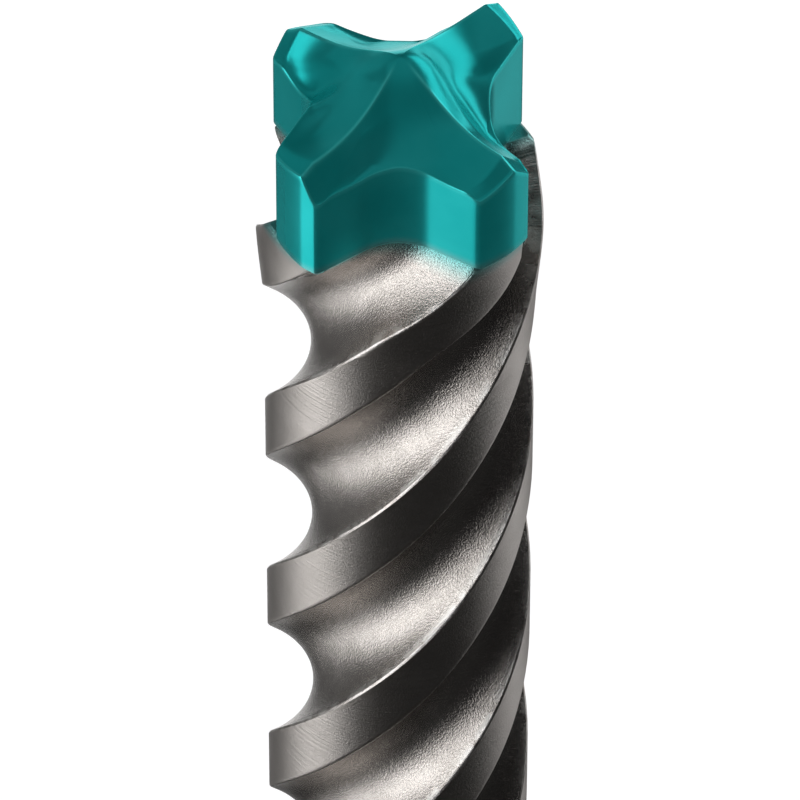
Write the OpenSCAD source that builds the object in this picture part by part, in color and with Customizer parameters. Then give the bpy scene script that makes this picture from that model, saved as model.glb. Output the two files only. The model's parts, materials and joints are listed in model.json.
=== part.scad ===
// Four-cutter hammer drill bit of 16 mm, with a one-piece carbide head on a fluted steel body.
// The bit stands on the end of its shank: Z is its axis, Z = 0 is the shank's end face, and the tip points up.
// Angles run round the axis from the front (-Y) towards +X, the way the bit turns at work.

/* [Overall] */
// Length from the shank's end face to the tip of the head
overall_length = 160; // [150:1:180]

/* [Carbide head] */
// Diameter across the corners of the two main cutting edges
head_diameter = 16.5; // [16:0.1:16.8]
// Height of the head from its seat on the steel to its tip
head_height = 9.1; // [8.5:0.1:10]
// How far below the tip the two main cutting edges level off
main_edge_drop = 1.9; // [1.6:0.05:2.2]
// How far below the tip the two side cutting edges level off
side_edge_drop = 2.65; // [2.3:0.05:2.9]
// Radius over which the raised centre falls to the main edges
main_centre_radius = 3.05; // [2.65:0.1:3.45]
// Radius over which the raised centre falls to the side edges
side_centre_radius = 3.45; // [3.05:0.1:3.85]
// How much closer to the axis the side edges' corners lie
side_setback = 0.3; // [0.1:0.05:0.4]
// How much closer to the axis the wings' trailing corners lie than the main cutting corners
wing_relief = 0.45; // [0.4:0.05:0.6]
// Depth of the gash in front of a main cutting edge
main_gash = 1.9; // [1.6:0.1:2.2]
// Depth of the gash in front of a side cutting edge
side_gash = 2.4; // [2:0.1:2.7]
// Drop of the bevel on the corner of a main cutting edge
main_bevel = 0.5; // [0.3:0.05:0.7]
// Drop of the bevel on the corner of a side cutting edge
side_bevel = 0.65; // [0.4:0.05:0.9]
// Width of those corner bevels, towards the axis
bevel_width = 0.9; // [0.6:0.05:1.2]
// Distance from the axis to the floor of each valley between two wings
valley_floor = 4.7; // [4.4:0.05:5]
// Radius of the rounded floor of each valley
valley_radius = 3.2; // [2.6:0.1:3.5]
// Angle from a wing's middle to its leading face
wing_lead = 13.3; // [12.5:0.1:14.5]
// Angle from a main wing's middle back to its trailing face
main_wing_trail = 11.5; // [10:0.5:13]
// Angle from a side wing's middle back to its trailing face
side_wing_trail = 13; // [11:0.5:14]
// Angle from a main wing's middle to its cutting corner
main_corner_lead = 6.7; // [5.2:0.3:8.2]
// Angle from a side wing's middle to its cutting corner
side_corner_lead = 4.1; // [2.9:0.3:5.9]

/* [Fluted body] */
// Diameter over the lands
body_diameter = 14.5; // [14.2:0.1:14.9]
// Diameter of the core that the flutes leave
core_diameter = 9.5; // [8.8:0.1:10.2]
// Rise of a flute in one full turn
flute_lead = 55; // [48:1:62]
// Angle of body that each land takes
land_angle = 31.4; // [29:0.2:34]
// Angle from the middle between two wings, ahead of a main wing, to its land's trailing edge at the seat
ledge_angle = 25; // [22:0.5:30]
// Thickening of the lands towards the weld under the head, on the radius
weld_flare = 0.4; // [0.2:0.05:0.5]
// Height of the bead round the weld, on the radius
weld_bead = 0.2; // [0:0.05:0.3]
// Length over which the flutes rise out of the steel near the shank
runout_length = 13; // [9:1:18]
// Height at which the fluted part begins
flute_start = 56; // [54:1:60]

/* [Shank] */
// Diameter of the shank
shank_diameter = 10; // [9.8:0.05:10.2]
// Length of the shank up to the neck
shank_length = 45; // [42:0.5:48]
// Diameter of the neck between shank and flutes
neck_diameter = 12.4; // [12:0.1:13]
// Length of the cone from shank to neck
neck_cone = 4; // [2:0.5:6]
// Chamfer on the end of the shank
shank_chamfer = 1; // [0.5:0.1:1.5]
// Height of the shank's end at which the open driving grooves stop at full depth
drive_groove_length = 32; // [28:0.5:34]
// Depth of the driving grooves
drive_groove_depth = 1.9; // [1.5:0.1:2.2]
// Width of a driving groove at its floor
drive_floor_width = 2.8; // [2.2:0.1:3.2]
// Width of a driving groove at the shank's surface
drive_mouth_width = 4; // [3.4:0.1:4.6]
// Radius of the disc cutter that runs out of the driving grooves
drive_cutter_radius = 14; // [10:1:20]
// Radius of the closed grooves that the holder's locking balls run in
ball_groove_radius = 3.5; // [3:0.1:3.8]
// Depth of the ball grooves
ball_groove_depth = 2; // [1.6:0.1:2.2]
// Height of the lower end of the ball grooves
ball_groove_start = 10; // [8:0.5:12]
// Length of the ball grooves at the shank's surface
ball_groove_length = 20; // [17:0.5:24]

/* [Fineness] */
// Turn of the flutes from one slice of the body to the next
slice_turn = 6.5; // [5.5:0.5:9]
// Steps across the floor of a flute
flute_steps = 8; // [6:1:10]
// Rings on the head from its tip to its rim
head_rings = 12; // [8:1:16]

/* [Hidden] */
$fn = 96;
starts = 4;
quarter = 360 / starts;
body_r = body_diameter / 2;
core_r = core_diameter / 2;
head_r = head_diameter / 2;
shank_r = shank_diameter / 2;
neck_r = neck_diameter / 2;
seat_z = overall_length - head_height;

// The point at radius r and angle a, at height z
function at(r, a, z) = [r * sin(a), -r * cos(a), z];
// Straight mix of two values
function mix(p, q, t) = p + (q - p) * t;
// Smooth rise from 0 at a to 1 at b
function ramp(x, a, b) = let (t = min(1, max(0, (x - a) / (b - a)))) t * t * (3 - 2 * t);
// Value at t on a line through points of [place, value]
function along(t, pts, i = 0) =
    t <= pts[0][0] ? pts[0][1] :
    i >= len(pts) - 1 ? pts[len(pts) - 1][1] :
    t <= pts[i + 1][0] ? mix(pts[i][1], pts[i + 1][1], (t - pts[i][0]) / (pts[i + 1][0] - pts[i][0])) :
    along(t, pts, i + 1);

// Outline of the head in plan. Angle v is measured from the middle of a valley.
// A valley is an arc of valley_radius. On each side a flat that is tangent to it ends at a wing's corner.
valley_centre = valley_floor + valley_radius;
lead_v = -quarter / 2 + wing_lead;
trail_r = head_r - wing_relief;

// Half-angle direction of the flat that leaves the corner at radius r and angle v for the arc
function flat_dir(r, v) =
    let (x = r * sin(v), y = r * cos(v), away = norm([x, valley_centre - y]))
    atan2(valley_centre - y, -x) + asin(valley_radius / away);
function flat_radius(r, v, w) =
    let (d = flat_dir(r, v), n = [sin(d), -cos(d)])
    (r * sin(v) * n[0] + r * cos(v) * n[1]) / (sin(w) * n[0] + cos(w) * n[1]);
function flat_end(r, v) =
    let (x = r * sin(v), y = r * cos(v), d = flat_dir(r, v),
         run = sqrt(pow(norm([x, valley_centre - y]), 2) - pow(valley_radius, 2)))
    atan2(x + run * cos(d), y + run * sin(d));
function floor_radius(v) =
    valley_centre * cos(v) - sqrt(pow(valley_radius, 2) - pow(valley_centre * sin(v), 2));
// Outline of the valley between wing k and wing k + 1
function plan_radius(k, v) =
    let (lead_r = wing_radius(k), trail_v = trail_v(k + 1), corner_v = corner_v(k + 1))
    v < lead_v ? lead_r :
    v < -flat_end(lead_r, -lead_v) ? flat_radius(lead_r, -lead_v, -v) :
    v <= flat_end(trail_r, trail_v) ? floor_radius(v) :
    v <= trail_v ? flat_radius(trail_r, trail_v, v) :
    mix(trail_r, wing_radius(k + 1), (v - trail_v) / (corner_v - trail_v));

// Wings 1 and 3 carry the main cutting edges, wings 0 and 2 the side ones
function is_main(k) = k % 2 == 1;
function wing_radius(k) = head_r - (is_main(k) ? 0 : side_setback);
function corner_lead(k) = is_main(k) ? main_corner_lead : side_corner_lead;
function trail_v(k) = quarter / 2 - (is_main(k) ? main_wing_trail : side_wing_trail);
function corner_v(k) = quarter / 2 + corner_lead(k);
// The way a cutting edge turns as it runs out from the tip, from its angle at the tip to the one at the rim
main_angle_in = -9;
side_angle_in = 3;
function edge_angle(k, s) =
    quarter * (k + 0.5) + corner_lead(k)
    - (is_main(k) ? main_angle_in * (1 - pow(s, 1.1)) : side_angle_in * (1 - s * s));
// Height of a cutting edge over the seat at radius r: a raised centre that levels off, and a bevelled corner
function edge_height(k, r) =
    let (out = wing_radius(k), drop = is_main(k) ? main_edge_drop : side_edge_drop,
         centre = is_main(k) ? main_centre_radius : side_centre_radius,
         bevel = is_main(k) ? main_bevel : side_bevel)
    head_height - drop * (1 - exp(-pow(r / centre, 1.65)))
    - bevel * max(0, (r - out + bevel_width) / bevel_width);
// Share of the gash's depth across the valley, from the edge in front (0) to the edge behind it (1).
// Near the tip it is a shallow trough; towards the rim it steepens into a face right in front of the edge.
main_inner_shape = [[0, 0], [0.12, 0.42], [0.3, 0.78], [0.5, 0.9], [0.7, 0.82], [0.85, 0.6], [1, 0]];
main_rim_shape = [[0, 0], [0.075, 1], [0.45, 0.87], [0.65, 0.8], [0.8, 0.72], [1, 0]];
side_inner_shape = [[0, 0], [0.2, 0.72], [0.3, 0.85], [0.42, 0.78], [0.6, 0.55], [0.8, 0.28], [1, 0]];
side_rim_shape = [[0, 0], [0.17, 0.92], [0.27, 1], [0.39, 0.72], [0.57, 0.3], [0.81, 0.26], [1, 0]];
function gash(k, t, r, s) =
    (is_main(k) ? main_gash : side_gash) * min(1, r / valley_floor)
    * mix(along(t, is_main(k) ? main_inner_shape : side_inner_shape),
          along(t, is_main(k) ? main_rim_shape : side_rim_shape), ramp(s, 0.5, 1));

// Columns of the head's top surface: the angles at the rim, from one wing's corner to the next
function rim_angles(k) =
    let (trail_v = trail_v(k + 1), first_v = corner_lead(k) - quarter / 2,
         a = -flat_end(wing_radius(k), -lead_v), b = flat_end(trail_r, trail_v))
    concat([first_v, mix(first_v, lead_v, 0.5)],
           [for (i = [0:2]) mix(lead_v, a, i / 3)],
           [for (i = [0:5]) mix(a, b, i / 6)],
           [for (i = [0:2]) mix(b, trail_v, i / 3)],
           [for (i = [0:2]) mix(trail_v, corner_v(k + 1), i / 3)]);
columns = [for (k = [0:starts - 1]) each [for (v = rim_angles(k)) [k, v]]];

// Point of the head's top in a column, at share s of the way from the tip to the rim
function top_point(c, s) =
    let (k = c[0], v = c[1],
         first_v = corner_lead(k) - quarter / 2,
         t = (v - first_v) / (corner_v(k + 1) - first_v),
         r = s * plan_radius(k, v),
         a = mix(edge_angle(k, s), edge_angle(k + 1, s), t),
         z = mix(edge_height(k, r), edge_height(k + 1, r), t) - gash(k, t, r, s))
    at(r, a, seat_z + z);

// Side edges of the land under wing k at height z: a helix, and near the seat the turn that settles it under
// its wing. The leading edge stops turning once it is under the wing's leading face.
land_place = 21;
settle_turn = 1.2;
side_lead_turn = 15;
main_lead_turn = 4.4;
lead_inset = 0.9;
function helix_angle(z) =
    land_place + 360 * (z - seat_z) / flute_lead + settle_turn * ramp(z - seat_z, -12, -8);
function land_trail(z, k) =
    let (last = is_main(k) ? ledge_angle : trail_v(k))
    helix_angle(z) + (last - land_place - settle_turn) * ramp(z - seat_z, -5, -0.5);
function land_lead(z, k) =
    let (turn = is_main(k) ? main_lead_turn * ramp(z - seat_z, -8.8, -3.8)
                           : side_lead_turn * ramp(z - seat_z, -6.8, -2.2))
    min(quarter / 2 + wing_lead - lead_inset, helix_angle(z) + land_angle + turn);
// The bead rises over the last bead_height below the seat
bead_height = 2.2;
function land_radius(z) =
    body_r + weld_flare * ramp(z - seat_z, -9.7, -2.5)
    + weld_bead * pow(max(0, 1 + (z - seat_z) / bead_height), 2)
    - shoulder * (1 - min(1, (z - flute_start) / shoulder));
shoulder = 0.6;
// The flutes' cutter leaves the steel on an arc, so their depth fades out near the shank
runout_z = flute_start + 2;
function flute_share(z) =
    let (u = min(1, max(0, (z - runout_z) / runout_length))) sqrt(1 - pow(1 - u, 2));
// Radius of a flute at angle w from its middle: an arc through both land corners, lowest at the core
function flute_radius(z, half, w) =
    let (out = land_radius(z),
         floor_r = mix(out * cos(half), core_r, flute_share(z)),
         x = out * sin(half), h = out * cos(half) - floor_r,
         arc = h < 0.02 ? 0 : (x * x + h * h) / (2 * h),
         scoop = h < 0.02 ? out * cos(half) / cos(w)
               : (floor_r + arc) * cos(w) - sqrt(pow(arc, 2) - pow((floor_r + arc) * sin(w), 2)))
    mix(out, scoop, min(1, 4 * flute_share(z)));

land_steps = 3;
function slice(z) =
    [for (k = [0:starts - 1])
        let (a = quarter * k + land_trail(z, k), b = quarter * k + land_lead(z, k),
             c = quarter * (k + 1) + land_trail(z, k + 1), half = (c - b) / 2)
        each concat(
            [for (i = [0:land_steps - 1]) at(land_radius(z), mix(a, b, i / land_steps), z)],
            [for (i = [0:flute_steps - 1]) at(flute_radius(z, half, mix(-half, half, i / flute_steps)),
                                              mix(b, c, i / flute_steps), z)])];

// A closed skin over rings of equal size, the first at the bottom and the last at the top
module skin(rings) {
    n = len(rings[0]);
    m = len(rings);
    faces = concat(
        [[for (j = [0:n - 1]) j]],
        [for (i = [0:m - 2]) for (j = [0:n - 1])
            let (p = i * n + j, q = i * n + (j + 1) % n) each [[p, p + n, q + n], [p, q + n, q]]],
        [[for (j = [n - 1:-1:0]) (m - 1) * n + j]]);
    polyhedron([for (ring = rings) each ring], faces);
}

module fluted_body() {
    slice_rise = flute_lead * slice_turn / 360;
    count = ceil((seat_z - flute_start - shoulder) / slice_rise);
    heights = concat([flute_start], [for (i = [0:count]) mix(flute_start + shoulder, seat_z, i / count)]);
    skin([for (z = heights) slice(z)]);
}

// Shank and neck, turned in one profile
module shank_blank() {
    rotate_extrude()
        polygon([[0, 0], [shank_r - shank_chamfer, 0], [shank_r, shank_chamfer],
                 [shank_r, shank_length], [neck_r, shank_length + neck_cone],
                 [neck_r, flute_start + shoulder], [0, flute_start + shoulder]]);
}

// Section of a driving groove, with its floor at x = 0 and its mouth outwards
module drive_section() {
    mouth = drive_groove_depth + 1;
    flare = (drive_mouth_width - drive_floor_width) / 2 / drive_groove_depth;
    polygon([[0, -drive_floor_width / 2], [mouth, -drive_floor_width / 2 - flare * mouth],
             [mouth, drive_floor_width / 2 + flare * mouth], [0, drive_floor_width / 2]]);
}

module drive_groove() {
    floor_x = shank_r - drive_groove_depth;
    translate([floor_x, 0, -1]) linear_extrude(drive_groove_length + 1) drive_section();
    // the run-out that the disc cutter leaves
    translate([floor_x + drive_cutter_radius, 0, drive_groove_length]) rotate([90, 0, 0])
        rotate_extrude() translate([drive_cutter_radius, 0]) mirror([1, 0]) drive_section();
}

module ball_groove() {
    axis_x = shank_r - ball_groove_depth + ball_groove_radius;
    // the groove's ends are ball shaped, so at the shank's surface they reach less far than the ball does
    reach = sqrt(pow(ball_groove_radius, 2) - pow(axis_x - shank_r, 2));
    low = ball_groove_start + reach;
    high = ball_groove_start + ball_groove_length - reach;
    translate([axis_x, 0, low]) cylinder(r = ball_groove_radius, h = high - low);
    for (z = [low, high]) translate([axis_x, 0, z]) sphere(r = ball_groove_radius);
}

module steel_body() {
    color([0.62, 0.59, 0.56]) difference() {
        union() {
            shank_blank();
            fluted_body();
        }
        for (a = [0, 180]) rotate(a) drive_groove();
        for (a = [90, 270]) rotate(a) ball_groove();
    }
}

module carbide_head() {
    n = len(columns);
    top = [for (i = [head_rings:-1:1]) [for (c = columns) top_point(c, i / head_rings)]];
    base = [for (p = top[0]) [p[0], p[1], seat_z]];
    rings = concat([base], top);
    m = len(rings);
    tip = m * n;
    faces = concat(
        [[for (j = [0:n - 1]) j]],
        [for (i = [0:m - 2]) for (j = [0:n - 1])
            let (p = i * n + j, q = i * n + (j + 1) % n) each [[p, p + n, q + n], [p, q + n, q]]],
        [for (j = [0:n - 1]) [(m - 1) * n + j, tip, (m - 1) * n + (j + 1) % n]]);
    points = concat([for (ring = rings) each ring], [[0, 0, seat_z + head_height]]);
    color([0.0, 0.52, 0.49]) polyhedron(points, faces);
}

steel_body();
carbide_head();
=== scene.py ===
# %% [markdown]
# A drill bit for a rotary hammer stands on the end of its shank. Two things make it up: a steel body,
# with a grooved shank below and four spiral flutes above, and a carbide head with four wings that is
# welded on top and coated teal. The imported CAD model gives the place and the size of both. It has flat
# facets, so the visible surfaces are made again here, fine and smooth, from the same numbers.

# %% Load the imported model
import json
import math

import bpy
import numpy as np
from mathutils import Matrix, Vector

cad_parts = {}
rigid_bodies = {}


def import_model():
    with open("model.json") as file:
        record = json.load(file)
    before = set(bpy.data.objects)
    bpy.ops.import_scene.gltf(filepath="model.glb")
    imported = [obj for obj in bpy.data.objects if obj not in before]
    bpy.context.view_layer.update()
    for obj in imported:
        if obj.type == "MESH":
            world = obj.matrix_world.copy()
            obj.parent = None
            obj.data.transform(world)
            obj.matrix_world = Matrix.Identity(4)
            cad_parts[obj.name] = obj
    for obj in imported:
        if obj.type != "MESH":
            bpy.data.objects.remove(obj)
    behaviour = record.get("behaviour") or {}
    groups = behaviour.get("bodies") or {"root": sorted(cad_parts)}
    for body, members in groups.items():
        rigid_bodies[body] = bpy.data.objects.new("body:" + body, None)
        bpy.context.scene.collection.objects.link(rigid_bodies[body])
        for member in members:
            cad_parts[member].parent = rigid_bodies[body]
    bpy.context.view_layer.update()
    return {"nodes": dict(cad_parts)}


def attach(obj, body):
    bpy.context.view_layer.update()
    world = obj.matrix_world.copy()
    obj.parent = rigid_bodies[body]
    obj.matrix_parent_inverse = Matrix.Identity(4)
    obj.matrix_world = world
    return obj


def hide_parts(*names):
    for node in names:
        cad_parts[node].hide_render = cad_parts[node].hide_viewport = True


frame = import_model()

print("nodes of the packed model:", sorted(frame["nodes"]))

# %% [markdown]
# The sizes are those of the CAD model, in millimetres and degrees. Angles run round the axis from the
# front (-Y) towards +X, which is also the way the bit turns at work. Four wings stand at 45, 135, 225
# and 315 degrees. Wings 1 and 3 carry the main cutting edges, and wings 0 and 2 the side ones. A pair
# of values below is one for a side wing and one for a main wing.

# %% Sizes of the head
MM = 0.001
LENGTH = 160.0
HEAD_RADIUS = 8.25
HEAD_HEIGHT = 9.1
SEAT = LENGTH - HEAD_HEIGHT
WING_RADIUS = (HEAD_RADIUS - 0.3, HEAD_RADIUS)
TRAIL_RADIUS = HEAD_RADIUS - 0.45
EDGE_DROP = (2.65, 1.9)
CENTRE_RADIUS = (3.45, 3.05)
BEVEL = (0.65, 0.5)
BEVEL_WIDTH = 0.9
GASH = (2.4, 1.9)
VALLEY_FLOOR = 4.7
VALLEY_RADIUS = 3.2
WING_LEAD = 13.3
WING_TRAIL = (13.0, 11.5)
CORNER_LEAD = (4.1, 6.7)
EDGE_SWEEP = (3.0, -9.0)
WINGS = 4
QUARTER = 360 / WINGS
print("head from", SEAT, "to", LENGTH, "mm up the axis, across its wings", 2 * HEAD_RADIUS, "mm")

# %% Sizes of the fluted body and the shank
BODY_RADIUS = 7.25
CORE_RADIUS = 4.75
FLUTE_LEAD = 55.0
FLUTE_START = 56.0
RUNOUT = 13.0
LAND_ANGLE = 31.4
LAND_PLACE = 21.0
LEDGE_ANGLE = 25.0
SHOULDER = 0.6
SHANK_RADIUS = 5.0
SHANK_LENGTH = 45.0
SHANK_CHAMFER = 1.0
NECK_RADIUS = 6.2
NECK_CONE = 4.0
DRIVE_LENGTH = 32.0
DRIVE_DEPTH = 1.9
DRIVE_FLOOR = 2.8
DRIVE_MOUTH = 4.0
DRIVE_CUTTER = 14.0
BALL_START = 10.0
BALL_LENGTH = 20.0
BALL_DEPTH = 2.0
BALL_RADIUS = 3.5
print("turns of a flute:", round((SEAT - FLUTE_START) / FLUTE_LEAD, 2))

# %% [markdown]
# A few small functions do the mixing. Each works on whole arrays, so a surface of many thousand points
# is one expression and needs no loop over points. A line through given points is written as a sum of
# steps that are each held at 0 before their stretch and at 1 after it.

# %% Mixing functions
def at(radius, angle, height):
    """Points on circles: x is r times the sine of the angle, y is minus r times its cosine."""
    turn = np.radians(angle)
    x, y = radius * np.sin(turn), -radius * np.cos(turn)
    return np.stack(np.broadcast_arrays(x, y, height), axis=-1)


def mix(first, second, share):
    """The first value plus a share of the way to the second."""
    return first + (second - first) * share


def ramp(value, start, end):
    """Smooth rise from 0 at start to 1 at end, as 3t^2 - 2t^3."""
    share = np.clip((value - start) / (end - start), 0, 1)
    return share * share * (3 - 2 * share)


def along(value, places, levels):
    """A line through points: every stretch adds its own step, times how much of it lies behind."""
    result = levels[0] + 0 * value
    for low, high, before, after in zip(places, places[1:], levels, levels[1:]):
        result = result + (after - before) * np.clip((value - low) / (high - low), 0, 1)
    return result


def soften(values, reach):
    """Round the corners of a closed line: each point is a bell-shaped average of its neighbours."""
    steps = np.arange(-4, 5)
    weights = np.exp(-0.5 * (steps / reach) ** 2)
    return sum(w * np.roll(values, step, axis=-1) for step, w in zip(steps, weights)) / weights.sum()


print("halfway up a ramp:", ramp(0.5, 0, 1), "and a quarter of the way:", ramp(0.25, 0, 1))

# %% [markdown]
# A closed surface is a stack of rings with the same number of points. Neighbouring rings are joined by
# four-sided faces, the last point of a ring is joined to its first, and a single point closes each end.
# The rings run round against the clock and upwards, so every face points outwards. The faces could also
# be made one by one, but whole arrays are quicker and keep the numbering of the points in sight.

# %% A mesh from rings
def closed_surface(name, rings):
    """The mesh of rings[row, column], with a pole in the middle of the first ring and of the last."""
    rows, columns = rings.shape[:2]
    poles = [[rings[0].mean(axis=0)], [rings[-1].mean(axis=0)]]
    points = np.concatenate([rings.reshape(-1, 3)] + poles)
    here = np.arange(rows * columns).reshape(rows, columns)
    beside = np.roll(here, -1, axis=1)
    quads = np.stack([here[:-1], beside[:-1], beside[1:], here[1:]], axis=-1).reshape(-1, 4)
    low, high = rows * columns, rows * columns + 1
    bottom = np.stack([beside[0], here[0], np.full(columns, low)], axis=-1)
    top = np.stack([here[-1], beside[-1], np.full(columns, high)], axis=-1)
    mesh = bpy.data.meshes.new(name)
    mesh.from_pydata((points * MM).tolist(), [], quads.tolist() + bottom.tolist() + top.tolist())
    mesh.polygons.foreach_set("use_smooth", np.ones(len(mesh.polygons), dtype=bool))
    mesh.update()
    piece = bpy.data.objects.new(name, mesh)
    bpy.context.scene.collection.objects.link(piece)
    print(name, "points:", len(points), "triangles:", 2 * len(quads) + 2 * columns)
    return piece


def store(piece, name, values):
    """Keep one number per point of the rings on the mesh, for a material to read. The poles get 0."""
    layer = piece.data.attributes.new(name, "FLOAT", "POINT")
    layer.data.foreach_set("value", np.concatenate([values.ravel(), [0, 0]]).astype(np.float32))
    print("stored", name, "on", piece.name)


# %% [markdown]
# Seen from above, the head is a cross. Each valley between two wings is an arc with a straight flat on
# either side that runs out to the wing's corner. It could be drawn as a curve and pulled up, but the
# flutes have to run up into the same outline later, so it is a function that gives the distance from the
# axis at any angle. Angle v is measured from the middle of the valley, and so one function serves all
# four, and the flat on one side is the one on the other side seen in a mirror.

# %% A flat beside a valley
def flat_line(radius, angle):
    """The flat from the corner (radius, angle) to the arc, which it touches: direction and length.

    It leaves the line to the arc's centre by the arc sine of the arc's radius over the distance.
    """
    x, y = radius * np.sin(np.radians(angle)), radius * np.cos(np.radians(angle))
    rise = VALLEY_FLOOR + VALLEY_RADIUS - y
    away = np.hypot(x, rise)
    direction = np.arctan2(rise, -x) + np.arcsin(VALLEY_RADIUS / away)
    return x, y, direction, np.sqrt(away ** 2 - VALLEY_RADIUS ** 2)


def flat_radius(radius, angle, v):
    """How far from the axis the flat is in direction v: its distance over the cosine to its normal."""
    x, y, direction, _ = flat_line(radius, angle)
    across_x, across_y = np.sin(direction), -np.cos(direction)
    toward = np.sin(np.radians(v)) * across_x + np.cos(np.radians(v)) * across_y
    return (x * across_x + y * across_y) / toward


def flat_end(radius, angle):
    """The angle at which the flat meets the arc."""
    x, y, direction, run = flat_line(radius, angle)
    return np.degrees(np.arctan2(x + run * np.cos(direction), y + run * np.sin(direction)))


meeting = flat_end(TRAIL_RADIUS, QUARTER / 2 - WING_TRAIL[1])
print("a flat meets the arc", round(float(meeting), 1), "degrees from the middle of the valley")

# %% Outline of the head
LEAD_V = WING_LEAD - QUARTER / 2


def is_main(wing):
    """1 for a wing with a main edge, 0 for one with a side edge."""
    return wing % 2


def first_v(wing):
    """Where the valley in front of a wing begins: at that wing's cutting corner."""
    return CORNER_LEAD[is_main(wing)] - QUARTER / 2


def corner_v(wing):
    """Where a wing's cutting corner lies, seen from the valley behind it."""
    return CORNER_LEAD[is_main(wing)] + QUARTER / 2


def outline(wing, v):
    """Distance from the axis to the side of the head: a wing's outer face, flat, arc, flat, next wing."""
    lead_radius, next_radius = WING_RADIUS[is_main(wing)], WING_RADIUS[is_main(wing + 1)]
    trail_v = QUARTER / 2 - WING_TRAIL[is_main(wing + 1)]
    lead_end, trail_end = -flat_end(lead_radius, -LEAD_V), flat_end(TRAIL_RADIUS, trail_v)
    centre = VALLEY_FLOOR + VALLEY_RADIUS
    inside = np.maximum(VALLEY_RADIUS ** 2 - (centre * np.sin(np.radians(v))) ** 2, 0)
    arc = centre * np.cos(np.radians(v)) - np.sqrt(inside)
    near, far = flat_radius(lead_radius, -LEAD_V, -v), flat_radius(TRAIL_RADIUS, trail_v, v)
    outer = mix(TRAIL_RADIUS, next_radius, (v - trail_v) / (corner_v(wing + 1) - trail_v))
    stretches = [v < LEAD_V, v < lead_end, v <= trail_end, v <= trail_v]
    return np.select(stretches, [lead_radius + 0 * v, near, arc, far], outer)


print("axis to the middle of a valley:", outline(0, np.zeros(1))[0], "mm")

# %% [markdown]
# The four cutting edges rise to one point. Each falls steeply at first and then levels off, and ends in
# a small bevel at the wing's corner. The top could be cut out of a block with planes, but its faces run
# smoothly into each other. So it is worked out as one height over the angle and the radius: first the
# edges, then what lies between them.

# %% Cutting edges
CENTRE_POWER = 1.65
SWEEP_POWER = (2, 1.1)


def edge_angle(wing, share):
    """Angle of a cutting edge: its corner's, less a sweep times 1 minus the share run to a power."""
    main = is_main(wing)
    bend = 1 - share ** SWEEP_POWER[main]
    return QUARTER * (wing + 0.5) + CORNER_LEAD[main] - EDGE_SWEEP[main] * bend


def edge_height(wing, radius):
    """A bell curve, e to the minus (r over a width) to a power, is the raised centre. Then a bevel."""
    main = is_main(wing)
    centre = EDGE_DROP[main] * (1 - np.exp(-(radius / CENTRE_RADIUS[main]) ** CENTRE_POWER))
    bevel = BEVEL[main] * np.maximum(0, (radius - WING_RADIUS[main]) / BEVEL_WIDTH + 1)
    return HEAD_HEIGHT - centre - bevel


def even_height(wing, turn, radius):
    """Height between two edges when it changes evenly from one to the other."""
    return mix(edge_height(wing, radius), edge_height(wing + 1, radius), turn)


for wing in (0, 1):
    print("edge", wing, "ends", round(edge_height(wing, WING_RADIUS[wing]), 2), "mm above the seat")

# %% [markdown]
# In front of every edge a gash is ground into the head. Near the tip a gash is a plane that joins this
# edge to the next, and in front of a side edge a sloping strip of constant width comes first. Towards
# the rim the gash steepens into a narrow face right at the edge. The shape at the rim is a line through
# points: how far each lies from this edge (0) to the next (1), and which share of the full depth is
# reached there. The corners of such lines are averaged away, so the light runs over them without a break.

# %% Gashes
SIDE_RIM = ([0, 0.17, 0.27, 0.39, 0.57, 0.81, 1], [0, 0.92, 1, 0.72, 0.3, 0.26, 0])
MAIN_RIM = ([0, 0.075, 0.45, 0.65, 0.8, 1], [0, 1, 0.87, 0.8, 0.72, 0])
TROUGH_SHARE = (1, 1.55)
RAKE_WIDTH = 1.6
RAKE_SLOPE = 0.27
RAKE_STRETCH = (0.6, 3.0)
SPAN = math.radians(95)
CORNER_REACH = 0.14


def trough(wing, turn, radius):
    """Depth below the even height: a strip slopes to its foot, then a plane rises to the next edge.

    The plane's drop below the tip is the drop at each of its two sides, times the sine of the angle to
    the other side, over the sine of the whole angle.
    """
    main = is_main(wing)
    foot = 0.0 if main else np.arcsin(np.minimum(RAKE_WIDTH / radius, 0.95)) / SPAN
    low = 0.0 if main else RAKE_SLOPE * radius * ramp(radius, *RAKE_STRETCH)
    drop_here = HEAD_HEIGHT - even_height(wing, foot, radius) + low
    drop_next = HEAD_HEIGHT - edge_height(wing + 1, radius)
    past = np.maximum(turn - foot, 0)
    plane = drop_here * np.sin((1 - foot - past) * SPAN) + drop_next * np.sin(past * SPAN)
    plane = plane / np.sin((1 - foot) * SPAN)
    strip = low * np.minimum(np.maximum(turn, 0.001) / np.maximum(foot, 0.001), 1)
    return np.where(turn < foot, strip, plane - HEAD_HEIGHT + even_height(wing, turn, radius))


def rounded(turn, shape):
    """A shape without corners: an average, weighted by half plus half a cosine, over a short stretch.

    The stretch shrinks to nothing at the edges, which stay where they are.
    """
    reach = np.minimum(CORNER_REACH, np.minimum(turn, 1 - turn))
    steps = np.linspace(-1, 1, 41)
    weights = 0.5 + 0.5 * np.cos(np.pi * steps)
    return sum(w * shape(turn + step * reach) for step, w in zip(steps, weights)) / weights.sum()


def gash_depth(wing, turn, radius, share):
    """Depth at a share turn of the way between two edges: the trough, and near the rim its shape."""
    main = is_main(wing)
    inner = rounded(turn, lambda place: trough(wing, place, radius)) * TROUGH_SHARE[main]
    rim_shape = MAIN_RIM if main else SIDE_RIM
    rim = rounded(turn, lambda place: along(place, *rim_shape)) * GASH[main]
    return mix(inner, rim * np.minimum(1, radius / VALLEY_FLOOR), ramp(share, 0.5, 1))


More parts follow.
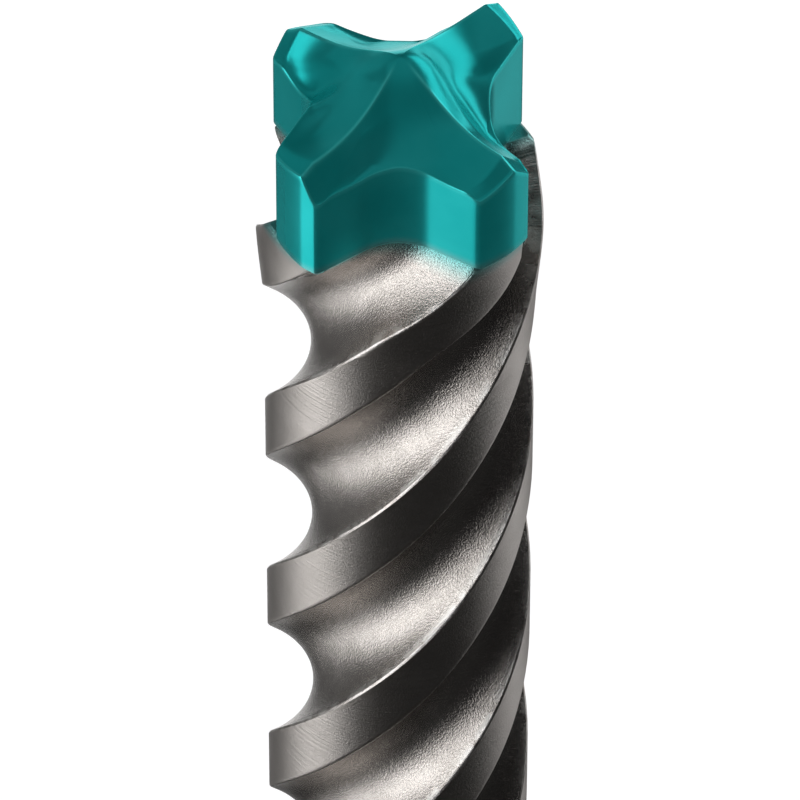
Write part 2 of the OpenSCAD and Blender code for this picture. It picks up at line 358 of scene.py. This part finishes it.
across = np.linspace(0, 1, 101)
for wing in (0, 1):
    deepest = gash_depth(wing, across, WING_RADIUS[wing], 1.0).max()
    print("gash in front of edge", wing, "is", round(float(deepest), 2), "mm deep at the rim")

# %% [markdown]
# The rings of the head go from the middle of the seat outwards, up the side, round the rim and in to the
# tip. The rim is rounded a little, because a worn coat never ends in a knife edge, and the rounding
# catches a thin bright line of light. How near a point is to a cutting edge is kept as an attribute,
# which the coat's material reads to paint a paler highlight along the ridges. The rim's rounding gets
# half of that painted highlight.

# %% Rings of the head
VALLEY_COLUMNS = 180
TOP_RINGS = 70
EDGE_ROUND = 0.13
HIGHLIGHT_WIDTH = 0.1
HIGHLIGHT_FADE = (0.3, 1.5)
SOFT_TOP, SOFT_SIDE = 1.1, 1.3
turn = np.arange(VALLEY_COLUMNS) / VALLEY_COLUMNS
shares = np.linspace(1, 0.01, TOP_RINGS)[:, None]
angles, heights, rims, ridge_highlights = [], [], [], []
for wing in range(WINGS):
    rim = outline(wing, mix(first_v(wing), corner_v(wing + 1), turn))
    radius = shares * (rim - EDGE_ROUND)
    from_edge = np.minimum(turn, 1 - turn) * SPAN * radius
    angles.append(mix(edge_angle(wing, shares), edge_angle(wing + 1, shares), turn))
    heights.append(even_height(wing, turn, radius) - gash_depth(wing, turn, radius, shares))
    rims.append(rim)
    # Painted highlight: a narrow band beside each cutting edge, fading out near the tip, where the coat is
    # painted paler.
    ridge_highlights.append(np.exp(-(from_edge / HIGHLIGHT_WIDTH) ** 2) * ramp(radius, *HIGHLIGHT_FADE))
angles = np.concatenate(angles, axis=1)
heights = soften(np.concatenate(heights, axis=1), SOFT_TOP)
rims = soften(np.concatenate(rims), SOFT_SIDE)
print("rings on top of the head:", heights.shape)

# %% Surface of the head
SIDE_RINGS = 24
top = at(shares * (rims - EDGE_ROUND), angles, SEAT + heights)
bend = np.radians([90, 67.5, 45, 22.5])[:, None]
round_radius = rims - EDGE_ROUND * (1 - np.sin(bend))
rounding = at(round_radius, angles[0], SEAT + heights[0] - EDGE_ROUND * (1 - np.cos(bend)))
down = np.linspace(0, 1, SIDE_RINGS)[:-1, None]
side = at(rims, angles[0], SEAT + down * (heights[0] - EDGE_ROUND))
under = at(rims * np.linspace(0.3, 0.97, 4)[:, None], angles[0], SEAT)
head = closed_surface("carbide_head_surface", np.concatenate([under, side, rounding, top]))
# The rim's rounding gets half of the painted ridge highlight.
ridge_highlight = np.pad(np.concatenate(ridge_highlights, axis=1), ((len(rounding), 0), (0, 0)), constant_values=0.5)
store(head, "ridge_highlight", np.pad(ridge_highlight, ((len(under) + len(side), 0), (0, 0))))

# %% [markdown]
# Below the head the body is four lands, the ribs that guide the bit in its hole, and four flutes between
# them that carry the dust out. A land is a part of a cylinder between two helixes. A twisted extrusion
# would give the plain part of it, but near the seat the lands turn until they stand under the wings, and
# that is easier when each edge's angle is a function of the height. Heights below the seat are negative.

# %% Lands
HELIX_STEP, STEP_STRETCH = 1.2, (-12, -8)
TRAIL_STRETCH = (-5, -0.5)
LEAD_TURN = (15.0, 4.4)
LEAD_STRETCH = ((-6.8, -2.2), (-8.8, -3.8))
LEAD_GAP = 0.9
FLARE, FLARE_STRETCH = 0.4, (-9.7, -2.5)
COLLAR, COLLAR_LENGTH = 0.2, 2.2
WORN, WORN_LENGTH = 0.3, 0.45


def helix_angle(z):
    """The helix of a land: one full turn in each lead, and a small step below the seat."""
    return LAND_PLACE + 360 * (z - SEAT) / FLUTE_LEAD + HELIX_STEP * ramp(z - SEAT, *STEP_STRETCH)


def land_trail(z, wing):
    """Angle of a land's trailing edge: the helix, and a turn to its place under the wing."""
    last = LEDGE_ANGLE if is_main(wing) else QUARTER / 2 - WING_TRAIL[0]
    return helix_angle(z) + (last - LAND_PLACE - HELIX_STEP) * ramp(z - SEAT, *TRAIL_STRETCH)


def land_lead(z, wing):
    """Angle of a land's leading edge: the helix and a turn, and it stops under the leading face."""
    main = is_main(wing)
    turned = LEAD_TURN[main] * ramp(z - SEAT, *LEAD_STRETCH[main])
    return np.minimum(QUARTER / 2 + WING_LEAD - LEAD_GAP, helix_angle(z) + LAND_ANGLE + turned)


def land_radius(z):
    """Radius of the lands: sloped where they begin, thicker towards the weld, and worn at the seat."""
    below = z - SEAT
    flare = FLARE * ramp(below, *FLARE_STRETCH)
    collar = COLLAR * np.maximum(0, 1 + below / COLLAR_LENGTH) ** 2
    shoulder = SHOULDER * (1 - np.minimum(1, (z - FLUTE_START) / SHOULDER))
    worn = WORN * (1 - np.sqrt(1 - np.clip(below / WORN_LENGTH + 1, 0, 1) ** 2))
    return BODY_RADIUS + flare + collar - shoulder - worn


print("a land is", round(math.radians(LAND_ANGLE) * BODY_RADIUS, 2), "mm wide round the body")

# %% Flutes
LAND_COLUMNS = 16
FLUTE_COLUMNS = 48
PLAIN_START = 2.0
HEAD_BLEND = 5.5


def flute_radius(z, half, w):
    """A flute's section is an arc through both land corners, with its lowest point on the core.

    Half is half the flute's angle, and w the angle from its middle. The arc's radius is half the chord
    squared plus the rise squared, over twice the rise.
    """
    share = np.sqrt(1 - (1 - np.clip((z - FLUTE_START - PLAIN_START) / RUNOUT, 0, 1)) ** 2)
    out = land_radius(z)
    chord = out * np.cos(np.radians(half))
    floor = mix(chord, CORE_RADIUS, share)
    x, h = out * np.sin(np.radians(half)), np.maximum(chord - floor, 0.02)
    arc = (x ** 2 + h ** 2) / (2 * h)
    inside = np.maximum(arc ** 2 - ((floor + arc) * np.sin(np.radians(w))) ** 2, 0)
    scoop = (floor + arc) * np.cos(np.radians(w)) - np.sqrt(inside)
    return mix(out, scoop, np.minimum(1, 4 * share))


def head_outline(angle):
    """The head's outline at any angle, to let the flutes run up into its valleys."""
    order = np.argsort(angles[0] % 360)
    return np.interp(angle % 360, (angles[0] % 360)[order], rims[order], period=360)


def crowded(columns):
    """Steps from 0 towards 1 that crowd near both ends, at the corners: half of 1 minus a cosine."""
    return (1 - np.cos(np.pi * np.arange(columns) / columns)) / 2


def scooped(z, start, end, steps):
    """A flute's angles and radii. Near the seat it takes on the outline of the head's valley."""
    half, middle = (end - start) / 2, (start + end) / 2
    angle = mix(start, end, steps)
    plain = flute_radius(z, half, angle - middle)
    in_head = middle[-1] + (angle - middle) * half[-1] / half
    valley = np.minimum(head_outline(in_head), land_radius(z))
    return angle, mix(plain, valley, ramp(z, SEAT - HEAD_BLEND, SEAT))


def near_edge(apart, width):
    """1 on an edge and a bell curve beside it: apart in degrees, width in millimetres."""
    return np.exp(-(np.radians(apart) * BODY_RADIUS / width) ** 2)


print("first steps over a flute:", crowded(FLUTE_COLUMNS)[:3].round(4))

# %% Rings of the fluted body
CORNER_ROUND = 0.1
UPPER_WIDTHS = (0.12, 0.10)
LOWER_WIDTHS = (0.10, 0.08)
CLOSE_UP = 11
spiral_z = np.linspace(FLUTE_START + SHOULDER, SEAT - CLOSE_UP, 152)
close_z = np.linspace(SEAT - CLOSE_UP, SEAT, 42)
fluted_z = np.concatenate([[FLUTE_START], spiral_z, close_z[1:]])[:, None]
body_angles, body_radii, on_land, upper_edge, lower_edge = [], [], [], [], []
for wing in range(WINGS):
    start = QUARTER * wing + land_trail(fluted_z, wing)
    end = QUARTER * wing + land_lead(fluted_z, wing)
    after = QUARTER * (wing + 1) + land_trail(fluted_z, wing + 1)
    land = mix(start, end, crowded(LAND_COLUMNS))
    flute, scoop = scooped(fluted_z, end, after, crowded(FLUTE_COLUMNS))
    body_angles += [land, flute]
    body_radii += [land_radius(fluted_z) + 0 * land, scoop]
    on_land += [1 + 0 * land, 0 * flute]
    upper_edge += [near_edge(land - start, UPPER_WIDTHS[0]), near_edge(after - flute, UPPER_WIDTHS[1])]
    lower_edge += [near_edge(end - land, LOWER_WIDTHS[0]), near_edge(flute - end, LOWER_WIDTHS[1])]
body_angles, body_radii, on_land, upper_edge, lower_edge = (
    np.concatenate(parts, axis=1) for parts in (body_angles, body_radii, on_land, upper_edge, lower_edge))
body_radii = body_radii - CORNER_ROUND * np.maximum(upper_edge, lower_edge) ** 4
fluted = at(body_radii, body_angles, fluted_z)
print("rings of the fluted body:", fluted.shape)

# %% [markdown]
# The shank is a plain round bar with two open driving grooves, at +X and -X, and two closed grooves for
# the holder's locking balls, at the front and at the back. A disc cutter makes the driving grooves, so
# they end in an arc. Cutting them out with booleans would leave ragged faces on such a fine mesh. So
# each quarter of the bar is worked out round +x as a closed formula, and then turned to its place.

# %% Ball grooves
SECTOR = LAND_COLUMNS + FLUTE_COLUMNS
shank_z = np.concatenate([[0, 0.5], np.linspace(SHANK_CHAMFER, SHANK_LENGTH, 146)])[:, None]
bar = np.minimum(SHANK_RADIUS, SHANK_RADIUS - SHANK_CHAMFER + shank_z)


def ball_sector(z, bar):
    """A round channel with ball-shaped ends: the nearer root where a ray from the axis meets it."""
    beta = np.radians(np.linspace(-QUARTER / 2, QUARTER / 2, SECTOR, endpoint=False))
    away = SHANK_RADIUS - BALL_DEPTH + BALL_RADIUS
    reach = math.sqrt(BALL_RADIUS ** 2 - (away - SHANK_RADIUS) ** 2)
    low, high = BALL_START + reach, BALL_START + BALL_LENGTH - reach
    past = np.maximum(low - z, 0) + np.maximum(z - high, 0)
    inside = BALL_RADIUS ** 2 - past ** 2 - (away * np.sin(beta)) ** 2
    wall = away * np.cos(beta) - np.sqrt(np.maximum(inside, 0))
    radius = np.where(inside > 0, np.minimum(bar, wall), bar)
    return radius * np.cos(beta), radius * np.sin(beta)


ball = ball_sector(shank_z, bar)
print("floor of a ball groove:", round(float(np.hypot(*ball).min()), 2), "mm from the axis")

# %% Driving grooves
def drive_sector(z, bar):
    """A flat floor and two sloping walls. Past its end the floor rises on the cutter's arc.

    Each wall runs from the floor's corner to the bar's surface, the longer root of a quadratic.
    """
    past = np.clip(z - DRIVE_LENGTH, 0, DRIVE_CUTTER - 0.01)
    floor = SHANK_RADIUS - DRIVE_DEPTH + DRIVE_CUTTER - np.sqrt(DRIVE_CUTTER ** 2 - past ** 2)
    floor = np.minimum(floor, SHANK_RADIUS - 0.03)
    half = np.minimum(DRIVE_FLOOR / 2, np.sqrt(np.maximum(bar ** 2 - floor ** 2, 0.3)))
    corner = np.minimum(floor, np.sqrt(bar ** 2 - half ** 2))
    slope = (DRIVE_MOUTH - DRIVE_FLOOR) / 2 / DRIVE_DEPTH
    lean = math.hypot(1, slope)
    b = (corner + half * slope) / lean
    run = np.maximum(0, np.sqrt(np.maximum(b ** 2 - corner ** 2 - half ** 2 + bar ** 2, 0)) - b)
    mouth_x, mouth_y = corner + run / lean, half + run * slope / lean
    mouth = np.degrees(np.arctan2(mouth_y, mouth_x))
    round_steps, wall_steps, floor_steps = (np.linspace(0, 1, n, endpoint=False) for n in (12, 6, 28))
    before = np.radians(mix(-QUARTER / 2, -mouth, round_steps))
    after = np.radians(mix(mouth, QUARTER / 2, round_steps))
    floor_y = mix(-half, half, floor_steps)
    floor_x = np.minimum(corner, np.sqrt(bar ** 2 - floor_y ** 2))
    wall_x = mix(mouth_x, corner, wall_steps), mix(corner, mouth_x, wall_steps)
    wall_y = mix(-mouth_y, -half, wall_steps), mix(half, mouth_y, wall_steps)
    x = [bar * np.cos(before), wall_x[0], floor_x, wall_x[1], bar * np.cos(after)]
    y = [bar * np.sin(before), wall_y[0], floor_y, wall_y[1], bar * np.sin(after)]
    return np.concatenate(x, axis=1), np.concatenate(y, axis=1)


drive = drive_sector(shank_z, bar)
print("floor of a driving groove:", round(float(np.hypot(*drive).min()), 2), "mm from the axis")

# %% [markdown]
# On the real bit, shank, neck and flutes are one bar, so they are one surface here too. The rings of the
# shank have as many points as those of the flutes, and the plain neck between them turns its rings little
# by little, so that the columns of both meet. A flat lid lies on the seat.

# %% The whole body
SHARP_ANGLE = 38


def turned_sector(points, angle):
    """Turn a sector that was worked out round +x to its own angle on the shank."""
    radius, beta = np.hypot(*points), np.degrees(np.arctan2(points[1], points[0]))
    return at(radius, beta + angle, shank_z)


sectors = ((ball, 180), (drive, 270), (ball, 360), (drive, 450))
shank = np.concatenate([turned_sector(points, angle) for points, angle in sectors], axis=1)
plain = np.linspace(QUARTER * 1.5, QUARTER * 5.5, shank.shape[1], endpoint=False)
cone_z = np.linspace(SHANK_LENGTH, SHANK_LENGTH + NECK_CONE, 5)[1:]
straight_z = np.linspace(SHANK_LENGTH + NECK_CONE, FLUTE_START, 6)[1:]
neck_z = np.concatenate([cone_z, straight_z])[:, None]
cone = mix(SHANK_RADIUS, NECK_RADIUS, (neck_z - SHANK_LENGTH) / NECK_CONE)
swing = (neck_z - SHANK_LENGTH) / (FLUTE_START - SHANK_LENGTH)
neck = at(np.minimum(NECK_RADIUS, cone), mix(plain, body_angles[0] + 720, swing), neck_z)
foot, lid = shank[:1] * [0.5, 0.5, 1], fluted[-1:] * [0.5, 0.5, 1]
steel = closed_surface("steel_body_surface", np.concatenate([foot, shank, neck, fluted, lid]))
below = len(foot) + len(shank) + len(neck)
for name, values in (("on_land", on_land), ("upper_edge", upper_edge)):
    store(steel, name, np.pad(values, ((below, len(lid)), (0, 0))))
for piece in (head, steel):
    piece.data.set_sharp_from_angle(angle=math.radians(SHARP_ANGLE))

# %% [markdown]
# The visible surfaces stand for the two CAD nodes, which stay in the physics model. Both belong to the
# one body of a thing with no joints, called root.

# %% Pieces and nodes
PIECES = ((head, "carbide_head", "teal_carbide"), (steel, "steel_body", "blasted_steel"))
for piece, node, slot in PIECES:
    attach(piece, "root")
    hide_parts(node)
    print(piece.name, "stands for", node)

# %% [markdown]
# A material is a tree of nodes. They could be added and linked one by one, but then the sum that they
# stand for is hard to see. So a Wire holds the output socket of a node, and its operators add Math nodes,
# and 1 - mask works as it reads. Every other node comes from one method, add, of the Finish class.

# %% Sums of sockets
class Wire:
    """An output socket that can be used in sums."""

    def __init__(self, tree, socket):
        self.tree, self.socket = tree, socket

    def math(self, operation, *values):
        """A Math node with the operation, and its values or links in order."""
        node = self.tree.nodes.new("ShaderNodeMath")
        node.operation = operation
        for place, value in zip(node.inputs, values):
            if isinstance(value, Wire):
                self.tree.links.new(value.socket, place)
            else:
                place.default_value = value
        return Wire(self.tree, node.outputs[0])

    def __add__(self, other):
        return self.math("ADD", self, other)

    def __sub__(self, other):
        return self.math("SUBTRACT", self, other)

    def __rsub__(self, other):
        return self.math("SUBTRACT", other, self)

    def __mul__(self, other):
        return self.math("MULTIPLY", self, other)

    def at_most(self, other):
        return self.math("MINIMUM", self, other)

    def angle_over(self, other):
        """The angle whose tangent is this value over the other."""
        return self.math("ARCTAN2", self, other)

    def cosine(self):
        return self.math("COSINE", self)

    __radd__, __rmul__ = __add__, __mul__


# %% Nodes of a finish
class Finish:
    """The nodes of a material or of the world, with one method that adds any node."""

    def __init__(self, tree):
        self.tree = tree
        tree.nodes.clear()

    def add(self, kind, output=0, settings=None, **values):
        """Add a node. A value's name is its socket's, or i and a number; spaces become low lines."""
        node = self.tree.nodes.new(kind)
        for key, value in (settings or {}).items():
            setattr(node, key, value)
        for key, value in values.items():
            place = int(key[1:]) if key[1:].isdigit() else key.replace("_", " ")
            if isinstance(value, Wire):
                self.tree.links.new(value.socket, node.inputs[place])
            else:
                node.inputs[place].default_value = value
        return Wire(self.tree, node.outputs[output])

    def attribute(self, name):
        """A number that was stored on the mesh."""
        return self.add("ShaderNodeAttribute", output=2, settings={"attribute_name": name})

    def noise(self, vector, scale, detail=2.0, roughness=0.5):
        """A cloudy pattern with that many clouds in a metre."""
        values = {"Vector": vector, "Scale": scale, "Detail": detail, "Roughness": roughness}
        return self.add("ShaderNodeTexNoise", **values)

    def smooth(self, value, low, high):
        """Smooth rise from 0 at low to 1 at high."""
        smoothly = {"interpolation_type": "SMOOTHSTEP"}
        values = {"Value": value, "i1": low, "i2": high, "i3": 0.0, "i4": 1.0}
        return self.add("ShaderNodeMapRange", settings=smoothly, **values)

    def blend(self, share, first, second):
        """Mix two colours."""
        colours = {"data_type": "RGBA"}
        return self.add("ShaderNodeMix", output=2, settings=colours, i0=share, i6=first, i7=second)

    def close(self, title, kind, surface):
        """End the tree with its output node."""
        end = self.tree.nodes.new(kind)
        self.tree.links.new(surface.socket, end.inputs["Surface"])
        print("finish of", title, "nodes:", len(self.tree.nodes))


# %% Materials
def material(name):
    """A new material whose patterns read the piece's own coordinates."""
    made = bpy.data.materials.new(name)
    made.use_nodes = True
    finish = Finish(made.node_tree)
    finish.made = made
    finish.place = finish.add("ShaderNodeTexCoord", output=3)
    return finish


def finished(finish, piece, **values):
    """Close the material with a Principled shader and put it on the piece."""
    surface = finish.add("ShaderNodeBsdfPrincipled", **values)
    finish.close(finish.made.name, "ShaderNodeOutputMaterial", surface)
    piece.data.materials.clear()
    piece.data.materials.append(finish.made)


# %% [markdown]
# The body is hardened steel that was blasted with grit and left with a warm nickel tone. The blasting
# shows as a very fine grain, about a tenth of a millimetre, so it is a noise that drives the bump, the
# colour and the roughness together. A displaced mesh would need millions of faces for the same.

# %% Colour and grain of blasted steel
LIGHT_STEEL = (0.64, 0.60, 0.57, 1)
DARK_STEEL = (0.50, 0.47, 0.44, 1)
TEAL = (0.022, 0.50, 0.50, 1)
GRAIN = 10000.0
CLOUDS = 420.0
COAT_END = ((SEAT - 1.1) * MM, (SEAT + 0.8) * MM)
RAGGED = 0.0003


def steel_look(finish):
    """Grain and colour of the blasted steel, shared by the body and the weld zone of the head."""
    grain = finish.noise(finish.place, GRAIN, 3.0, 0.6)
    cloud = finish.noise(finish.place, CLOUDS, 2.0)
    share = finish.smooth(grain * 0.5 + cloud * 0.5, 0.36, 0.66)
    return grain, finish.blend(share, DARK_STEEL, LIGHT_STEEL)


def coat_share(finish, grain):
    """The coat fades out across the seat, a little raggedly."""
    height = finish.add("ShaderNodeSeparateXYZ", output=2, Vector=finish.place)
    return finish.smooth(height + grain * RAGGED, *COAT_END)


print("the coat ends between", [round(height, 5) for height in COAT_END], "m up the axis")

# %% [markdown]
# The lands were ground round after the blasting. That leaves very fine rings, a noise that is stretched
# round the axis, and smoother steel between them. The upper edges of the lands are rubbed bright and also
# carry a painted highlight, but not everywhere, so a second noise picks the patches where they are
# brighter.

# %% Blasted steel
RUB_HIGHLIGHT_STEEL = (0.95, 0.93, 0.90, 1)
RINGS = (150.0, 150.0, 12000.0)
PATCHES = 900.0
steel_finish = material("blasted_steel")
grain, colour = steel_look(steel_finish)
ground = steel_finish.attribute("on_land")
stretched = steel_finish.add("ShaderNodeMapping", Vector=steel_finish.place, Scale=RINGS)
rings = steel_finish.noise(stretched, 1.0, 1.0)
# Real rubbing plus a painted highlight: the upper edges of the lands are made brighter in patches.
rub_and_highlight_patches = steel_finish.smooth(steel_finish.noise(steel_finish.place, PATCHES), 0.35, 0.6)
rub_and_highlight = (steel_finish.attribute("upper_edge") * rub_and_highlight_patches).at_most(1.0)
colour = steel_finish.blend(ground * 0.35, colour, LIGHT_STEEL)
colour = steel_finish.blend(rub_and_highlight, colour, RUB_HIGHLIGHT_STEEL)
colour = steel_finish.blend(coat_share(steel_finish, grain), colour, TEAL)
rough = 0.19 + grain * 0.08 + ground * 0.08 + rub_and_highlight * 0.12
relief = grain * (1 - ground * 0.3) + rings * ground * 0.9
bump = steel_finish.add("ShaderNodeBump", Strength=1.0, Distance=0.00004, Height=relief)
finished(steel_finish, steel, Base_Color=colour, Metallic=1.0, Roughness=rough, Normal=bump)

# %% [markdown]
# The head is sintered carbide with a thin satin coat of teal. Along the ridges and on the rim's rounding
# the coat is painted paler, as a highlight. The coat ends in a soft line at the weld, where the heat and
# the blasting took it off. It could be a second surface just above the bare one, but then its end would
# be a hard line. So one material fades from teal into the steel's look. The coat is partly metallic, as a
# real one on polished carbide is: its mirror images have its own colour, and the deep tone below doesn't
# turn grey.

# %% Teal carbide
DEEP_TEAL = (0.012, 0.45, 0.45, 1)
HIGHLIGHT_TEAL = (0.08, 0.78, 0.76, 1)
TONES = 260.0
TINT = (0.02, 0.85, 0.85, 1)
teal_finish = material("teal_carbide")
grain, bare = steel_look(teal_finish)
tone = teal_finish.smooth(teal_finish.noise(teal_finish.place, TONES, 3.0), 0.3, 0.7)
coat = teal_finish.blend(tone, DEEP_TEAL, TEAL)
# Painted highlight: the coat is paler along the ridges and on the rim's rounding.
coat = teal_finish.blend(teal_finish.attribute("ridge_highlight") * 0.8, coat, HIGHLIGHT_TEAL)
coated = coat_share(teal_finish, grain)
look = {"Base_Color": teal_finish.blend(coated, bare, coat)}
look["Metallic"] = 1.0 - coated * 0.35
look["Roughness"] = 0.34 - coated * 0.1 + grain * 0.02
look["Coat_Weight"] = coated * 0.05
look["Normal"] = teal_finish.add("ShaderNodeBump", Strength=0.03, Distance=0.00003, Height=grain)
finished(teal_finish, head, **look, Specular_Tint=TINT, Coat_Roughness=0.2, IOR=1.3)

# %% [markdown]
# The photograph looks down on the bit at about 47 degrees through a long lens. The lines of the lands
# hardly run together in it, so the camera stands far off, 75 body radii away from a point on the axis. It
# is straight in front, and turned a touch in its own picture. A body radius is 134.35 pixels wide there,
# which gives the lens.

# %% Camera
ELEVATION = math.radians(47.2)
RADII_AWAY = 75
AWAY = RADII_AWAY * BODY_RADIUS * MM
RADII_DOWN = 3.625
TARGET = (LENGTH - RADII_DOWN * BODY_RADIUS) * MM
PIXELS_PER_RADIUS = 134.35
PIXELS_ASIDE = 0.75
SIDE_STEP = PIXELS_ASIDE / PIXELS_PER_RADIUS * BODY_RADIUS * MM
ROLL = math.radians(0.17)
PICTURE = 800
camera = bpy.data.objects.new("camera", bpy.data.cameras.new("camera"))
bpy.context.scene.collection.objects.link(camera)
camera.data.sensor_width = 36.0
camera.data.lens = PIXELS_PER_RADIUS * RADII_AWAY * camera.data.sensor_width / PICTURE
camera.data.clip_start = 0.01
camera.location = (SIDE_STEP, -AWAY * math.cos(ELEVATION), TARGET + AWAY * math.sin(ELEVATION))
aim = Matrix.Rotation(math.pi / 2 - ELEVATION, 3, "X") @ Matrix.Rotation(ROLL, 3, "Z")
camera.rotation_euler = aim.to_euler()
bpy.context.scene.camera = camera
print("camera at", tuple(round(c, 4) for c in camera.location), "lens", round(camera.data.lens, 1))

# %% [markdown]
# The floor is matt and pale, and keeps the bit's shadow. Stronger lamps would turn it white, but they
# would bleach the bit too. So the floor also glows, only to the camera, in mirror images and through
# glass, and adds no light to the bit.

# %% Floor
FLOOR_HALF = 3
FLOOR_WHITE = (0.85, 0.85, 0.85, 1)
GLOW_SHARE = 0.4
GLOW_STRENGTH = 1.85
bpy.context.scene.view_settings.view_transform = "Standard"
corners = [(x * FLOOR_HALF, y * FLOOR_HALF, 0) for x, y in ((-1, -1), (1, -1), (1, 1), (-1, 1))]
floor_mesh = bpy.data.meshes.new("floor")
floor_mesh.from_pydata(corners, [], [(0, 1, 2, 3)])
floor = bpy.data.objects.new("floor", floor_mesh)
bpy.context.scene.collection.objects.link(floor)
floor_material = bpy.data.materials.new("floor")
floor_material.use_nodes = True
paint = Finish(floor_material.node_tree)
to_camera, in_mirrors, through_glass = (
    paint.add("ShaderNodeLightPath", output=index) for index in (0, 3, 6))
glowing = (to_camera + in_mirrors + through_glass).at_most(1.0) * GLOW_SHARE
matt = paint.add("ShaderNodeBsdfDiffuse", Color=FLOOR_WHITE)
glow = paint.add("ShaderNodeEmission", Color=(1, 1, 1, 1), Strength=GLOW_STRENGTH)
mixed = paint.add("ShaderNodeMixShader", i0=glowing, i1=matt, i2=glow)
paint.close("floor", "ShaderNodeOutputMaterial", mixed)
floor_mesh.materials.append(floor_material)

# %% [markdown]
# Polished metal shows what stands round it more than it shows light. In the photograph the flutes
# mirror a tall bright panel on the left and black card in front, and the walls of the head a dimmer
# panel on the right. Standing panels would get into the view and cast shadows, and most of these mirror
# images look down, past the bit. So a round card lies on the floor that only mirror images show, light on
# some sides of the bit and black on the others. Each tone is the middle of a light part in degrees round
# the bit, half its width, and how light it is.

# %% A card for mirror images
CARD_TONES = ((288, 16, 1.55), (114, 22, 0.6), (182, 14, 1.1), (240, 24, 0.12))
CARD_RADIUS = 4
CARD_HEIGHT = 0.0003
CARD_BASE = 0.02
CARD_START = (0.04, 0.12)


def card_tone(paint):
    """Light where the angle round the bit is near a tone's middle, fading to black near the shank."""
    x, y = (paint.add("ShaderNodeSeparateXYZ", output=axis, Vector=paint.place) for axis in (0, 1))
    azimuth = x.angle_over(0.0 - y)
    tone = CARD_BASE
    for middle, half, level in CARD_TONES:
        low, high = (math.cos(math.radians(half + soft)) for soft in (10, -8))
        tone = tone + paint.smooth((azimuth - math.radians(middle)).cosine(), low, high) * level
    length = {"operation": "LENGTH"}
    away = paint.add("ShaderNodeVectorMath", output=1, settings=length, i0=paint.place)
    return tone * paint.smooth(away, *CARD_START)


turns = np.arange(0, 360, 15)
card_rim = at(CARD_RADIUS, turns, CARD_HEIGHT)
card_mesh = bpy.data.meshes.new("card")
card_mesh.from_pydata(card_rim.tolist(), [], [tuple(range(len(turns)))])
card = bpy.data.objects.new("card", card_mesh)
bpy.context.scene.collection.objects.link(card)
paint = material("card")
tone = card_tone(paint)
grey = paint.add("ShaderNodeCombineXYZ", i0=tone, i1=tone, i2=tone)
finished(paint, card, Base_Color=(0, 0, 0, 1), Roughness=1.0, Emission_Color=grey, Emission_Strength=1.0)
card.visible_camera = card.visible_shadow = card.visible_transmission = card.visible_diffuse = False

# %% [markdown]
# Large soft lamps stand around the bit, as in a product photograph. The broad one on the left draws the
# bright band in each flute. A high one and a low one on the right light the two faces of the trough in
# the head, a weak one fills in from behind, and a wide one hangs above. A lamp is given by its angle
# round the bit, its height in degrees, its distance, its size in metres and its power in watts.

# %% Lamps
LAMPS = (("left", 298, 14, 0.6, (0.44, 0.5), 1.4),
         ("right back", 119, 27, 0.6, (0.75, 0.24), 0.95),
         ("right low", 146, 3, 0.6, (0.6, 0.12), 0.35),
         ("back left", 220, 20, 0.6, (0.5, 0.5), 0.13),
         ("above", 0, 90, 1.2, (1.8, 1.8), 1.8))
LAMP_TARGET = Vector((0, 0, 0.12))


def lamp(name, azimuth, elevation, away, size, power):
    """A square soft lamp that looks at the upper part of the bit from a direction in degrees."""
    turn, rise = math.radians(azimuth), math.radians(elevation)
    flat = math.cos(rise)
    toward = Vector((math.sin(turn) * flat, -math.cos(turn) * flat, math.sin(rise)))
    light = bpy.data.objects.new(name, bpy.data.lights.new(name, "AREA"))
    light.data.shape = "RECTANGLE"
    light.data.size, light.data.size_y = size
    light.data.energy = power
    light.location = LAMP_TARGET + toward * away
    light.rotation_euler = toward.to_track_quat("Z", "Y").to_euler()
    bpy.context.scene.collection.objects.link(light)
    print("lamp", name, "power", power)


for values in LAMPS:
    lamp(*values)

# %% [markdown]
# The world is pale to the camera, a soft fill to matt surfaces, and nearly black in mirror images. An even
# pale world would be simpler, but it would fill the mirror images too, and the metal would lose its dark
# parts.

# %% World
BLACK, FILL, PALE = 0.012, 0.28, 0.9
world = bpy.data.worlds.new("studio")
bpy.context.scene.world = world
world.use_nodes = True
sky = Finish(world.node_tree)
dark, fill, pale = (sky.add("ShaderNodeBackground", Color=(t, t, t, 1)) for t in (BLACK, FILL, PALE))
to_camera, to_matt = (sky.add("ShaderNodeLightPath", output=index) for index in (0, 2))
unseen = sky.add("ShaderNodeMixShader", i0=to_matt, i1=dark, i2=fill)
seen = sky.add("ShaderNodeMixShader", i0=to_camera, i1=unseen, i2=pale)
sky.close("world", "ShaderNodeOutputWorld", seen)
